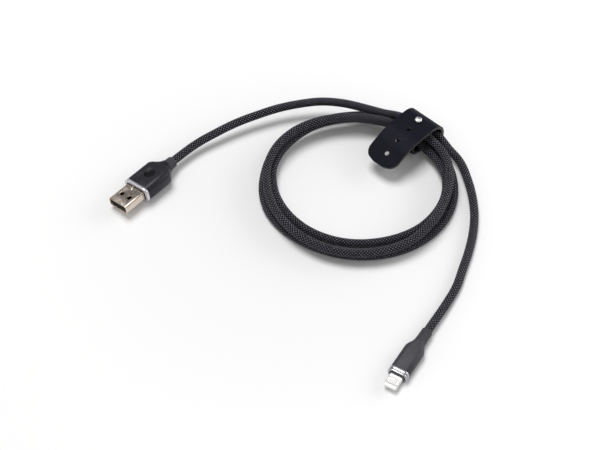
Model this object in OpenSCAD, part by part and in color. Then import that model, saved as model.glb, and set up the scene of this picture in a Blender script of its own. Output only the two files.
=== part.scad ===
// Charging cable: a braided cord, USB-A plug at one end and an 8-pin plug at the other,
// wound in three turns and held by a buttoned strap. Millimetres, +Z up, standing on z = 0.

/* [Cord] */
// Diameter of the braided cord
cord_d = 4.2; // [3.4:0.1:4.6]
// Free gap between neighbouring turns
turn_gap = 0.45; // [0.42:0.01:0.6]
// Half width of the coil along X, to the middle of its turns
coil_a = 45; // [43:0.5:48]
// Half width of the coil along Y, to the middle of its turns
coil_b = 42; // [40:0.5:44]

/* [USB plug] */
// Width of the metal shell
shell_w = 12; // [11.6:0.1:12.4]
// Height of the metal shell
shell_h = 4.5; // [4.3:0.1:4.8]
// Wall of the metal shell
shell_t = 0.3; // [0.2:0.05:0.4]
// Length of shell that stands out of the ring
shell_out = 12.6; // [11.5:0.1:13.5]
// Length of shell inside the body
shell_in = 6; // [5:0.5:6.5]
// Width of the contacts
usb_contact_w = 1; // [0.8:0.1:1.2]
// Thickness of the contacts
usb_contact_t = 0.25; // [0.15:0.05:0.35]
// Width of the USB body
usb_w = 15.6; // [15:0.1:17]
// Height of the USB body
usb_h = 8.2; // [7.8:0.1:9]
// Length of the straight part of the USB body
usb_straight = 14.3; // [13.5:0.1:17]
// Length of the metal ring
usb_ring_len = 1.6; // [1:0.1:2]

/* [Phone plug] */
// Width of the tab
tab_w = 6.7; // [6.4:0.1:6.9]
// Thickness of the tab
tab_t = 1.5; // [1.4:0.05:1.7]
// Length of tab that stands out of its base
tab_out = 6.9; // [6.5:0.1:7.3]
// Width of the phone plug's body
phone_w = 9.7; // [9.4:0.1:10.5]
// Height of the phone plug's body
phone_h = 5.8; // [5.6:0.1:6.4]
// Length of the straight part of the phone plug's body
phone_straight = 13.4; // [13:0.1:16]
// Length of the metal ring with its groove
phone_ring_len = 2.7; // [2.3:0.1:3.1]

/* [Strain reliefs] */
// Length of the shoulder where a body narrows to its neck
shoulder_len = 5.6; // [5:0.1:7]
// Length of the USB plug's neck
usb_neck = 4.2; // [3.5:0.1:6]
// Length of the phone plug's neck
phone_neck = 7.2; // [5:0.1:8]
// Wall of the USB plug's strain relief round the cord
relief_wall = 0.75; // [0.6:0.05:0.85]
// Wall of the phone plug's strain relief round the cord
phone_relief_wall = 0.34; // [0.25:0.01:0.36]

/* [Strap] */
// Width of the strap at its fold
strap_w = 18.6; // [17.6:0.1:20]
// Width of the strap's tongue at its tip
tongue_tip_w = 18.2; // [14:0.1:18.6]
// Width of the strap's buttoned end
end_w = 10.4; // [7:0.1:12]
// Thickness of the strap
strap_t = 1.6; // [1.4:0.05:1.65]
// Distance from the stud to the tip of the tongue
tongue_len = 31.2; // [30:0.1:38]
// Corner radius of the tongue's tip
tongue_r = 5.6; // [3:0.1:7]
// Distance from the stud to the first free hole
first_hole = 7.2; // [6.6:0.1:8]
// Distance between the free holes
hole_pitch = 8.5; // [7.5:0.1:9]
// Diameter of the free holes
hole_d = 2.4; // [2:0.1:3]
// Diameter of the stud's head
stud_d = 3.6; // [3.2:0.1:4]
// How far the tongue bends down past its first hole, in degrees
droop = 24.5; // [10:0.5:30]

/* [Hidden] */
// Small fitting clearances
fit = 0.05;
soft_gap = 0.3;
edge = 0.3;

// Plug places on the table: the middle of the shell's mouth and of the tab's root
usb_at = [-78, 22.8];
usb_yaw = 48;
usb_roll = -10.5;
phone_at = [55.1, -74.8];
phone_yaw = 58.8;

// Route of the cord from the USB plug's neck to the strap
usb_route = [
    [-41, 62.5, 5.5],
    [-31.5, 69, 6.3],
    [-21.5, 75, 7],
    [-11, 80, 7.4],
    [0, 84.2, 8],
    [11, 86.8, 8.5],
    [22, 88, 8.9],
    [33, 86.5, 9.3],
    [43, 83.3, 9.5],
    [53, 79.7, 9.5],
];
// Route of the cord from the strap to the phone plug's neck
phone_route = [
    [80.8, 67.2, 5.7],
    [85.6, 60.4, 4.4],
    [91, 52.5, 3.4],
    [94.2, 42, 2.7],
    [96, 31, 2.2],
    [96.3, 20, 2.1],
    [95, 9, 2.1],
    [92.4, -2, 2.1],
    [88.8, -13, 2.1],
    [85, -24, 2.2],
    [79.6, -34.3, 2.5],
];

// How the turns lie: angle wound from the strap, step outward and step up, both in
// spacings of the cord. The first turn lies on top, the second inside, the third below.
lay = [
    [0, 0.17, 1.6],
    [15, 0.02, 1.5],
    [30, 0.08, 1.52],
    [49, -0.13, 1.62],
    [69, -0.25, 1.6],
    [90, 0, 1.4],
    [109, 0.36, 1.2],
    [139, 0.52, 1.01],
    [185, 0.54, 1.05],
    [229, 0.19, 1.2],
    [244, 0.05, 1.6],
    [262, -0.26, 1.72],
    [290, -0.56, 1.7],
    [346, -0.64, 1.6],
    [360, -0.84, 1.14],
    [374, -0.7, 0.52],
    [409, -0.46, 0.62],
    [450, -1, 0.2],
    [475, -1.4, 0.05],
    [499, -1.5, 0.02],
    [522, -1.38, 0.02],
    [545, -1.1, 0.02],
    [567, -0.82, 0.06],
    [589, -0.5, 0.2],
    [604, -0.37, 0.67],
    [622, -0.44, 0.5],
    [650, -0.24, 0.71],
    [674, 0.03, 0.76],
    [706, -0.09, 0.72],
    [720, 0.06, 0.6],
    [734, 0.4, 0.37],
    [769, 0.38, 0.04],
    [810, 0.33, 0.01],
    [859, 0.13, 0.01],
    [880, 0.15, 0.01],
    [905, 0.46, 0.01],
    [929, 0.76, 0.01],
    [949, 0.64, 0.01],
    [964, 0.42, 0.01],
    [982, 0.51, 0.01],
    [1010, 0.73, 0.03],
    [1030, 0.9, 0.1],
    [1045, 1.12, 0.2],
    [1066, 1.08, 0.36],
    [1080, 1.12, 0.62],
];
turns = 3;
rings_per_turn = 24;
coil_at = [40.5, 37];
coil_yaw = 49.2;
strap_yaw = 47.2;
// Where the coil swells out of its ellipse and where it is pressed in: azimuth, reach, how far
swell = [136, 58, 2.4];
press = [214, 50, -1.1];

cord_r = cord_d / 2;
spacing = cord_d + turn_gap;
round_fn = 48;

// ---- vectors and curves ----

function unit(v) = v / norm(v);
function flat_dir(angle) = [cos(angle), sin(angle), 0];
function sum_to(list, last) = last < 0 ? 0 : list[last] + sum_to(list, last - 1);

// Points on an arc in a plane, from angle a to angle b
function arc(centre, r, a, b, steps) =
    [for (k = [0:steps]) let (t = a + (b - a) * k / steps) centre + r * [cos(t), sin(t)]];

// Smooth value of the lay at a wound angle: a cubic through the stations
function station(angle, k = 0) =
    k == len(lay) - 2 || angle <= lay[k + 1][0] ? k : station(angle, k + 1);
function slope(k) =
    let (a = max(k - 1, 0), b = min(k + 1, len(lay) - 1))
    (lay[b] - lay[a]) / (lay[b][0] - lay[a][0]);
function lay_at(angle) =
    let (
        k = station(angle),
        h = lay[k + 1][0] - lay[k][0],
        s = (angle - lay[k][0]) / h
    )
    (1 + 2 * s) * (1 - s) * (1 - s) * lay[k]
    + s * (1 - s) * (1 - s) * h * slope(k)
    + s * s * (3 - 2 * s) * lay[k + 1]
    + s * s * (s - 1) * h * slope(k + 1);

function turn_between(a, b) = abs((a - b) - 360 * round((a - b) / 360));
function bump(shape, angle) =
    let (away = turn_between(angle, shape[0]))
    away > shape[1] ? 0 : shape[2] * pow(cos(90 * away / shape[1]), 2);
function coil_radius(angle) =
    coil_a * coil_b / norm([coil_b * cos(angle), coil_a * sin(angle)])
    + bump(swell, angle) + bump(press, angle);
function coil_point(wound) =
    let (
        place = lay_at(wound),
        angle = coil_yaw - wound,
        r = coil_radius(angle) + place[1] * spacing
    )
    [coil_at[0] + r * cos(angle), coil_at[1] + r * sin(angle), cord_r + place[2] * spacing];

// ---- the cord's centre lines ----

end_turn = 6;
ring_turn = 360 / rings_per_turn;
coil_angles = concat(
    [0, end_turn],
    [for (k = [1:turns * rings_per_turn - 1]) k * ring_turn],
    [360 * turns - end_turn, 360 * turns]
);
coil_line = [for (t = coil_angles) coil_point(t)];
coil_start_dir = unit(coil_line[1] - coil_line[0]);
coil_end_dir = unit(coil_line[len(coil_line) - 1] - coil_line[len(coil_line) - 2]);

// ---- plug lengths, measured from the mouth or the tab's root ----

usb_ring_x = shell_out;
usb_body_x = usb_ring_x + usb_ring_len;
usb_relief_x = usb_body_x + usb_straight + shoulder_len;
usb_neck_end = usb_relief_x + usb_neck;
usb_cord_x = usb_body_x + usb_straight - 1.2;

base_len = 0.2;
phone_ring_x = base_len;
phone_body_x = phone_ring_x + phone_ring_len;
phone_relief_x = phone_body_x + phone_straight + shoulder_len;
phone_neck_end = phone_relief_x + phone_neck;
phone_cord_x = phone_body_x + phone_straight - 0.6;

corner_r = 2.6;
phone_corner_r = 2.4;
ring_lip = 0.1;
usb_z = (usb_w / 2 - corner_r) * sin(-usb_roll) + (usb_h / 2 - corner_r) * cos(usb_roll)
    + corner_r + ring_lip;
phone_z = phone_h / 2 + ring_lip;

function usb_axis(x) = [usb_at[0], usb_at[1], usb_z] + x * flat_dir(usb_yaw);
function phone_axis(x) = [phone_at[0], phone_at[1], phone_z] + x * flat_dir(phone_yaw);

usb_line = concat(
    [usb_axis(usb_cord_x), usb_axis(usb_neck_end), usb_axis(usb_neck_end + cord_d)],
    usb_route,
    [coil_line[0] - 2 * cord_d * coil_start_dir, coil_line[0]]
);
phone_line = concat(
    [coil_line[len(coil_line) - 1], coil_line[len(coil_line) - 1] + cord_d * coil_end_dir],
    phone_route,
    [phone_axis(phone_neck_end + cord_d), phone_axis(phone_neck_end), phone_axis(phone_cord_x)]
);

// Distance from a point to a stretch of line
function to_stretch(p, a, b) =
    let (t = min(1, max(0, (p - a) * (b - a) / ((b - a) * (b - a))))) norm(p - a - t * (b - a));
// Rings closer than this along the cord are neighbours, not another turn
near_rings = 6;
coil_gaps = [
    for (i = [0:len(coil_line) - 1])
        for (j = [i + near_rings:1:len(coil_line) - 2])
            to_stretch(coil_line[i], coil_line[j], coil_line[j + 1]) - cord_d
];
function least_to(points, line) = min([
    for (p = points)
        for (j = [0:len(line) - 2])
            to_stretch(p, line[j], line[j + 1])
]) - cord_d;
late_turns = [for (k = [near_rings:len(coil_line) - 1]) coil_line[k]];
early_turns = [for (k = [0:len(coil_line) - 1 - near_rings]) coil_line[k]];
echo(least_gap_of_the_coil_to_itself = min(coil_gaps));
echo(least_gap_of_the_coil_to_the_usb_tail = least_to(late_turns, usb_line));
echo(least_gap_of_the_coil_to_the_phone_tail = least_to(early_turns, phone_line));
function line_length(line) =
    sum_to([for (k = [1:len(line) - 1]) norm(line[k] - line[k - 1])], len(line) - 2);
echo(cord_length = line_length(usb_line) + line_length(coil_line) + line_length(phone_line));

// ---- tube along a line ----

module tube(line, r, sides) {
    n = len(line);
    function dir_at(k) = k == 0 ? unit(line[1] - line[0])
        : k == n - 1 ? unit(line[n - 1] - line[n - 2])
        : unit(unit(line[k + 1] - line[k]) + unit(line[k] - line[k - 1]));
    points = [
        for (k = [0:n - 1])
            let (
                along = dir_at(k),
                side = unit(cross([0, 0, 1], along)),
                up = cross(along, side)
            )
            for (s = [0:sides - 1])
                let (t = 360 * (s + 0.5) / sides)
                line[k] + r * (cos(t) * side + sin(t) * up)
    ];
    function at(k, s) = k * sides + s % sides;
    skin = [
        for (k = [0:n - 2])
            for (s = [0:sides - 1])
                for (face = [
                    [at(k, s), at(k, s + 1), at(k + 1, s + 1)],
                    [at(k, s), at(k + 1, s + 1), at(k + 1, s)],
                ]) face
    ];
    start_cap = [for (s = [1:sides - 2]) [at(0, 0), at(0, s + 1), at(0, s)]];
    end_cap = [for (s = [1:sides - 2]) [at(n - 1, 0), at(n - 1, s), at(n - 1, s + 1)]];
    polyhedron(points, concat(skin, start_cap, end_cap), convexity = 12);
}

// ---- rounded sections ----

module rounded_rect(w, h, r) {
    square([w - 2 * r, h], center = true);
    square([w, h - 2 * r], center = true);
    for (x = [-1, 1], y = [-1, 1]) {
        translate([x * (w / 2 - r), y * (h / 2 - r)]) circle(r = r, $fn = round_fn);
    }
}

// Bar with a rounded section along X, from x to x + len
module bar(x, len, w, h, r) {
    translate([x, 0, 0]) rotate([90, 0, 90]) linear_extrude(len) rounded_rect(w, h, r);
}

// Round rod along X
module rod(x, len, r) {
    translate([x, 0, 0]) rotate([0, 90, 0]) cylinder(h = len, r = r, $fn = round_fn);
}

// Smooth body through rounded sections, each [x, half width, half height, corner radius]
module loft(sections) {
    corner_points = 6;
    ring = 4 * corner_points;
    points = [
        for (s = sections)
            for (q = [0:3])
                for (k = [0:corner_points - 1])
                    let (
                        t = 90 * q + 90 * k / (corner_points - 1),
                        cy = (q == 0 || q == 3 ? 1 : -1) * (s[1] - s[3]),
                        cz = (q < 2 ? 1 : -1) * (s[2] - s[3])
                    )
                    [s[0], cy + s[3] * cos(t), cz + s[3] * sin(t)]
    ];
    function at(k, p) = k * ring + p % ring;
    skin = [
        for (k = [0:len(sections) - 2])
            for (p = [0:ring - 1])
                for (face = [
                    [at(k, p), at(k + 1, p + 1), at(k, p + 1)],
                    [at(k, p), at(k + 1, p), at(k + 1, p + 1)],
                ]) face
    ];
    last = len(sections) - 1;
    front = [for (p = [0:ring - 1]) at(0, p)];
    back = [for (p = [ring - 1:-1:0]) at(last, p)];
    polyhedron(points, concat(skin, [front], [back]), convexity = 4);
}

module at_usb() {
    translate([usb_at[0], usb_at[1], usb_z]) rotate([usb_roll, 0, usb_yaw]) children();
}

module at_phone() {
    translate([phone_at[0], phone_at[1], phone_z]) rotate([0, 0, phone_yaw]) children();
}

// ---- USB plug ----

window_x = 6;
window_y = 2.6;
window_l = 2.4;
window_w = 2.2;

module shell_outline(x, len, grow) {
    bar(x, len, shell_w + 2 * grow, shell_h + 2 * grow, 0.8 + grow);
}

module usb_shell() {
    color("silver") at_usb() difference() {
        shell_outline(0, shell_out + shell_in, 0);
        shell_outline(-1, shell_out + shell_in + 2, -shell_t);
        for (side = [-1, 1]) {
            translate([window_x, side * window_y, 0])
                cube([window_l, window_w, shell_h + 2], center = true);
        }
    }
}

block_w = shell_w - 2 * shell_t - 2 * fit;
block_h = 1.9;
block_front = 0.6;
block_back_x = shell_out - 0.5;
block_end = shell_out + shell_in - 1;
block_bottom = -shell_h / 2 + shell_t + fit;
block_top = block_bottom + block_h;
contact_rows = [-3.5, -1, 1, 3.5];
usb_tail_x = block_end + 2.6;

module usb_contact_block() {
    color("black") at_usb() difference() {
        union() {
            translate([block_front, -block_w / 2 + edge, block_bottom])
                cube([block_end - block_front, block_w - 2 * edge, block_h]);
            translate([block_back_x, -block_w / 2 + edge, block_bottom])
                cube([block_end - block_back_x, block_w - 2 * edge, shell_h - 2 * shell_t - 2 * fit]);
        }
        for (y = contact_rows) {
            translate([block_back_x - 1, y - usb_contact_w / 2 - fit, block_top])
                cube([block_end, usb_contact_w + 2 * fit, usb_contact_t + fit]);
        }
    }
}

module usb_contact(i) {
    outer = abs(contact_rows[i - 1]) > 2;
    start = outer ? 1.4 : 2.4;
    color("gold") at_usb()
        translate([start, contact_rows[i - 1] - usb_contact_w / 2, block_top])
            cube([usb_tail_x - start, usb_contact_w, usb_contact_t]);
}

wire_r = 0.42;
wire_rows = [-1.35, -0.45, 0.45, 1.35];

// Straight wire between two places on the X axis's sides, cut square to X
module wire(x0, p0, x1, p1, r) {
    reach = 1;
    way = [x1 - x0, p1[0] - p0[0], p1[1] - p0[1]];
    along = unit(way);
    start = [x0, p0[0], p0[1]] - reach * along;
    intersection() {
        translate(start)
            rotate([0, acos(along[2]), atan2(along[1], along[0])])
                cylinder(h = norm(way) + 2 * reach, r = r, $fn = round_fn);
        translate([x0, -50, -50]) cube([x1 - x0, 100, 100]);
    }
}

module usb_wire_at(i, r) {
    on_contact = [contact_rows[i - 1], block_top + usb_contact_t / 2];
    wire(usb_tail_x, on_contact, usb_cord_x, [wire_rows[i - 1], 0], r);
}

module usb_wire(i) {
    color(["red", "white", "green", "black"][i - 1]) at_usb() usb_wire_at(i, wire_r);
}

usb_cavity_w = usb_w - 2.1;
usb_cavity_h = usb_h - 1.9;
usb_cavity_r = 1.6;
usb_nose_gap = 0.5;
ring_wall_w = 1.4;

module usb_inner_mould() {
    nose_w = usb_w + 2 * ring_lip - 2 * ring_wall_w - 2 * fit;
    nose_h = usb_h + 2 * ring_lip - 2 * ring_wall_w - 2 * fit;
    color("black") at_usb() difference() {
        union() {
            bar(usb_ring_x + usb_nose_gap, usb_ring_len, nose_w, nose_h, 1.3);
            bar(
                usb_body_x, usb_cord_x - usb_body_x,
                usb_cavity_w - 2 * fit, usb_cavity_h - 2 * fit, usb_cavity_r
            );
        }
        shell_outline(0, shell_out + shell_in + fit, fit);
        for (i = [1:4]) {
            translate([0, contact_rows[i - 1] - usb_contact_w / 2 - fit, block_top - fit])
                cube([usb_tail_x, usb_contact_w + 2 * fit, usb_contact_t + 2 * fit]);
            usb_wire_at(i, wire_r + fit);
        }
    }
}

module usb_ring() {
    color("silver") at_usb() difference() {
        bar(
            usb_ring_x, usb_ring_len,
            usb_w + 2 * ring_lip, usb_h + 2 * ring_lip, corner_r + ring_lip
        );
        bar(
            usb_ring_x - 1, usb_ring_len + 2,
            usb_w + 2 * ring_lip - 2 * ring_wall_w, usb_h + 2 * ring_lip - 2 * ring_wall_w, 1.35
        );
    }
}

bore_r = cord_r + 0.06;
flange_len = 1.2;
usb_seat_r = bore_r + relief_wall;
usb_grip = 0.5;
usb_neck_r = usb_seat_r + 0.6;
phone_seat_r = bore_r + phone_relief_wall;
phone_neck_r = phone_h / 2;
phone_neck_end_r = phone_seat_r + 0.15;

// A neck's end keeps flats this wide on each side, so that no two of its points fall together
least_flat = 0.01;

// How far along a shoulder, and how far it has narrowed there
shoulder = [
    [0, 0], [0.06, 0.04], [0.2, 0.14], [0.36, 0.34], [0.54, 0.62], [0.72, 0.83], [0.88, 0.95], [1, 1],
];

// Body narrowing from a rounded box to a round neck, from x, with its straight length
function body_sections(x, straight, w, h, r, neck_r) =
    let (hw = w / 2, hh = h / 2)
    concat(
        [[x, hw - 0.15, hh - 0.15, r - 0.15], [x + 0.3, hw, hh, r]],
        [for (s = shoulder)
            let (
                half_w = hw + (neck_r - hw) * s[1],
                half_h = hh + (neck_r - hh) * s[1],
                corner = min(half_w, half_h) - max(least_flat, (min(hw, hh) - r) * (1 - s[1]))
            )
            [x + straight + s[0] * shoulder_len, half_w, half_h, corner]]
    );

// Strain relief: a sleeve inside the body, then a tapered neck. A grip above 0 adds a flange
module relief_sleeve(cord_x, end_x, r, grip) {
    if (grip > 0) rod(cord_x, flange_len, r + grip);
    rod(cord_x, end_x - cord_x, r);
}

// The same hollow in a body, a little larger and open at both ends
module relief_seat(cord_x, end_x, r, grip) {
    if (grip > 0) rod(cord_x - 0.1, flange_len + 0.1 + fit, r + grip + fit);
    rod(cord_x - 0.1, end_x - cord_x + 1, r + fit);
}

module relief(cord_x, end_x, neck, seat_r, grip, start_r, end_r) {
    taper = start_r - end_r;
    difference() {
        union() {
            relief_sleeve(cord_x, end_x, seat_r, grip);
            translate([end_x, 0, 0]) rotate([90, 0, 90]) rotate_extrude($fn = round_fn)
                polygon([
                    [0, 0],
                    [start_r, 0],
                    [end_r + taper * 0.5, neck * 0.16],
                    [end_r + taper * 0.25, neck * 0.36],
                    [end_r, neck - 0.3],
                    [end_r - 0.2, neck],
                    [0, neck],
                ]);
        }
        rod(cord_x - 1, end_x - cord_x + neck + 2, bore_r);
    }
}

recess_r = 3;
recess_x = 8.6;
recess_depth = 0.25;

module usb_housing() {
    color([0.16, 0.16, 0.18]) at_usb() difference() {
        loft(body_sections(usb_body_x, usb_straight, usb_w, usb_h, corner_r, usb_neck_r));
        bar(usb_body_x - 1, usb_cord_x - usb_body_x + 1, usb_cavity_w, usb_cavity_h, usb_cavity_r);
        relief_seat(usb_cord_x, usb_relief_x, usb_seat_r, usb_grip);
        translate([usb_body_x + recess_x, 0, usb_h / 2 - recess_depth])
            cylinder(h = 1, r = recess_r, $fn = round_fn);
    }
}

module usb_strain_relief() {
    color([0.25, 0.25, 0.28]) at_usb()
        relief(usb_cord_x, usb_relief_x, usb_neck, usb_seat_r, usb_grip, usb_neck_r, usb_seat_r);
}

// ---- Phone plug ----

tab_in = 2.6;
pad_l = 2.9;
pad_w = 0.46;
pad_t = 0.15;
pad_pitch = 0.72;
pad_mid = -3.3;
insert_l = 3.7;
insert_w = 6;
insert_r = 0.8;
tab_corner_r = 1.2;
board_w = 5.4;
board_t = 0.5;

module phone_tab() {
    color("silver") at_phone() difference() {
        intersection() {
            bar(-tab_out, tab_out + tab_in, tab_w, tab_t, tab_t / 2 - 0.05);
            translate([(tab_in - tab_out) / 2, 0, -tab_t]) linear_extrude(2 * tab_t)
                rounded_rect(tab_out + tab_in, tab_w, tab_corner_r);
        }
        insert_block(insert_l + 2 * fit, insert_w + 2 * fit, insert_r + fit, tab_t + 2);
        translate([pad_mid, -board_w / 2 - 2 * fit, -board_t / 2 - 2 * fit])
            cube([20, board_w + 4 * fit, board_t + 4 * fit]);
    }
}

module insert_block(l, w, r, h) {
    translate([pad_mid, 0, -h / 2]) linear_extrude(h) rounded_rect(l, w, r);
}

board_end = phone_cord_x - 2.4;

module pad_block(i, side, grow) {
    low = side > 0 ? tab_t / 2 - pad_t - grow : -tab_t / 2 - grow;
    translate([pad_mid - pad_l / 2 - grow, (i - 4.5) * pad_pitch - pad_w / 2 - grow, low])
        cube([pad_l + 2 * grow, pad_w + 2 * grow, pad_t + 2 * grow]);
}

module phone_tab_insulator() {
    color("white") at_phone() difference() {
        insert_block(insert_l, insert_w, insert_r, tab_t);
        for (i = [1:8], side = [-1, 1]) {
            pad_block(i, side, fit / 2);
        }
        translate([pad_mid + pad_l / 2 - 0.6, -board_w / 2 - fit, -board_t / 2 - fit])
            cube([10, board_w + 2 * fit, board_t + 2 * fit]);
    }
}

module phone_contact(i, side) {
    color("gold") at_phone() pad_block(i, side, 0);
}

phone_cavity_w = phone_w - 1.8;
phone_cavity_h = phone_h - 1.6;
phone_cavity_r = 1.4;

module phone_tab_base() {
    color("black") at_phone() difference() {
        bar(0, base_len + 1.5, phone_w - 1.6, phone_h - 1.6, 2);
        bar(-1, base_len + 3.5, tab_w + 2 * fit, tab_t + 2 * fit, tab_t / 2);
    }
}

module phone_ring() {
    color("silver") at_phone() difference() {
        bar(
            phone_ring_x, phone_ring_len,
            phone_w + 2 * ring_lip, phone_h + 2 * ring_lip, phone_corner_r + ring_lip
        );
        bar(phone_ring_x - 1, phone_ring_len + 2, phone_w - 1.6 + 2 * fit, phone_h - 1.6 + 2 * fit, 2 + fit);
        difference() {
            bar(phone_ring_x + 0.9, 0.35, phone_w + 2, phone_h + 2, phone_corner_r);
            bar(phone_ring_x, 2, phone_w - 0.5, phone_h - 0.5, phone_corner_r - 0.2);
        }
    }
}

module phone_board() {
    color("darkgreen") at_phone()
        translate([pad_mid + pad_l / 2 - 0.5, -board_w / 2, -board_t / 2])
            cube([board_end - pad_mid - pad_l / 2 + 0.5, board_w, board_t]);
}

chip_l = 3;
chip_w = 2.6;
chip_h = 0.8;

module phone_chip() {
    color("dimgray") at_phone()
        translate([phone_body_x + 3, -chip_w / 2, board_t / 2]) cube([chip_l, chip_w, chip_h]);
}

can_x = phone_body_x + 0.4;
can_w = phone_cavity_w - 1.2;
can_h = phone_cavity_h - 0.8;
can_t = 0.2;
can_l = board_end - can_x;

module phone_can() {
    color("silver") at_phone() difference() {
        bar(can_x, can_l, can_w, can_h, 0.8);
        bar(can_x - 1, can_l + 2, can_w - 2 * can_t, can_h - 2 * can_t, 0.6);
    }
}

phone_wire_z = board_t / 2 + wire_r;

module phone_wire_at(i, r) {
    wire(board_end - 1.2, [(i - 2.5) * 1.2, phone_wire_z], phone_cord_x, [wire_rows[i - 1], 0], r);
}

module phone_inner_mould() {
    color("black") at_phone() difference() {
        bar(
            board_end + fit, phone_cord_x - board_end - fit,
            phone_cavity_w - 2 * fit, phone_cavity_h - 2 * fit, phone_cavity_r
        );
        for (i = [1:4]) {
            phone_wire_at(i, wire_r + fit);
        }
    }
}

module phone_wire(i) {
    color(["red", "white", "green", "black"][i - 1]) at_phone() difference() {
        phone_wire_at(i, wire_r);
        translate([0, -board_w / 2, -board_t / 2]) cube([board_end, board_w, board_t]);
    }
}

module phone_housing() {
    color([0.3, 0.3, 0.33]) at_phone() difference() {
        loft(body_sections(
            phone_body_x, phone_straight, phone_w, phone_h, phone_corner_r, phone_neck_r
        ));
        bar(
            phone_body_x - 1, phone_cord_x - phone_body_x + 1,
            phone_cavity_w, phone_cavity_h, phone_cavity_r
        );
        relief_seat(phone_cord_x, phone_relief_x, phone_seat_r, 0);
    }
}

module phone_strain_relief() {
    color([0.3, 0.3, 0.33]) at_phone() relief(
        phone_cord_x, phone_relief_x, phone_neck, phone_seat_r, 0, phone_neck_r, phone_neck_end_r
    );
}

// ---- cord ----

module usb_tail() {
    color([0.2, 0.2, 0.22]) tube(usb_line, cord_r, 8);
}

module coil() {
    color([0.22, 0.22, 0.24]) tube(coil_line, cord_r, 6);
}

module phone_tail() {
    color([0.2, 0.2, 0.22]) tube(phone_line, cord_r, 8);
}

// ---- strap, drawn in its own frame: X outward across the cord, Y along the cord ----

stud_reach = coil_radius(strap_yaw) + 0.4;
half_t = strap_t / 2;

// The loop's outer arc, its corners and the buttoned end that lies inside the arc
loop_c = [-0.3, 5.3];
loop_r = 9.4;
tongue_z = loop_c[1] + loop_r;
low_out_r = 2.2;
out_angle = asin((loop_c[1] - half_t - low_out_r) / (loop_r - low_out_r));
low_out_c = loop_c + (loop_r - low_out_r) * [cos(out_angle), -sin(out_angle)];
end_a_r = loop_r - strap_t - soft_gap;
end_a_z = loop_c[1] + end_a_r;
end_a_angle = 62;
in_r = 3.5;
low_in_c = [-5.7, half_t + in_r];
high_in_c = [-4.1, end_a_z - in_r];
lean = atan2(high_in_c[0] - low_in_c[0], high_in_c[1] - low_in_c[1]);
split = 58;
split_gap = 2;
hinge = loop_c + (loop_r + half_t) * [cos(split), sin(split)];

stud_neck_r = 1.1;
stud_base_r = 2.5;
stud_base_t = 0.5;
base_pin_r = 0.6;
base_pin_len = 2;
foot_z = end_a_z - half_t;
head_seat_z = tongue_z + half_t + 0.15;

module at_strap() {
    translate([coil_at[0], coil_at[1], 0])
        rotate([0, 0, strap_yaw])
            translate([stud_reach, 0, 0])
                children();
}

// Stands a shape drawn in X and Z up across the strap's width
module across(w) {
    translate([0, w / 2, 0]) rotate([90, 0, 0]) linear_extrude(w) children();
}

function reversed(list) = [for (k = [len(list) - 1:-1:0]) list[k]];

function band_side(offset) = concat(
    arc(loop_c, end_a_r + offset, end_a_angle, 90, 5),
    arc(high_in_c, in_r + offset, 90, 180 - lean, 8),
    arc(low_in_c, in_r + offset, 180 - lean, 270, 12),
    arc(low_out_c, low_out_r + offset, 270, 360 - out_angle, 8),
    arc(loop_c, loop_r + offset, -out_angle, split - split_gap, 12)
);

// The band seen from above: under the cord it narrows to the width of the buttoned end
narrow_x = -6;
far_x = 12;
end_top_x = 4;
layer_z = 3;

module band_outline(wide_from, narrow_from) {
    polygon([
        [far_x, strap_w / 2], [wide_from, strap_w / 2],
        [narrow_from, end_w / 2], [-far_x, end_w / 2],
        [-far_x, -end_w / 2], [narrow_from, -end_w / 2],
        [wide_from, -strap_w / 2], [far_x, -strap_w / 2],
    ]);
}

module strap_band() {
    color([0.12, 0.12, 0.14]) at_strap() difference() {
        intersection() {
            across(strap_w) polygon(concat(band_side(half_t), reversed(band_side(-half_t))));
            union() {
                linear_extrude(layer_z) band_outline(low_out_c[0], narrow_x);
                translate([0, 0, layer_z]) linear_extrude(tongue_z) band_outline(end_top_x, end_top_x);
            }
        }
        translate([0, 0, foot_z - 1])
            cylinder(h = strap_t + 2, r = stud_neck_r + fit, $fn = round_fn);
        translate([0, 0, foot_z - 1])
            cylinder(h = stud_base_t + 1 + fit, r = stud_base_r + fit, $fn = round_fn);
    }
}

bend_start = 9;
bend_r = 26;
bend_c = [-bend_start, tongue_z - bend_r];
bend_len = bend_r * droop * PI / 180;
bend_end = bend_c + bend_r * [-sin(droop), cos(droop)];
fall = [-cos(droop), -sin(droop)];
tip_run = tongue_len - bend_start - bend_len;

function tongue_side(offset) = concat(
    arc(loop_c, loop_r + offset, split, 90, 6),
    arc(bend_c, bend_r + offset, 90, 90 + droop, 6),
    [bend_end + offset * [-sin(droop), cos(droop)] + tip_run * fall]
);

// Where a place on the tongue lies and how steep it is there, from its distance to the stud
function tongue_spot(s) =
    let (turned = min(droop, max(0, s - bend_start) / bend_r * 180 / PI))
    s > bend_start + bend_len
        ? concat(bend_end + (s - bend_start - bend_len) * fall, droop)
        : s > bend_start
            ? concat(bend_c + bend_r * [-sin(turned), cos(turned)], turned)
            : [-s, tongue_z, 0];

tip_x = tongue_spot(tongue_len)[0];

// The tongue seen from above: it narrows to a tip with round corners, a little to one side
tip_side = 0.7;

module tongue_outline() {
    start = hinge[0] + 2;
    corner_x = tip_x + tongue_r;
    corner_y = tongue_tip_w / 2 - tongue_r;
    polygon(concat(
        [[start, strap_w / 2], [0, strap_w / 2]],
        arc([corner_x, tip_side + corner_y], tongue_r, 90, 180, 12),
        arc([corner_x, tip_side - corner_y], tongue_r, 180, 270, 12),
        [[0, -strap_w / 2], [start, -strap_w / 2]]
    ));
}

button_clear = 0.6;

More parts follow.
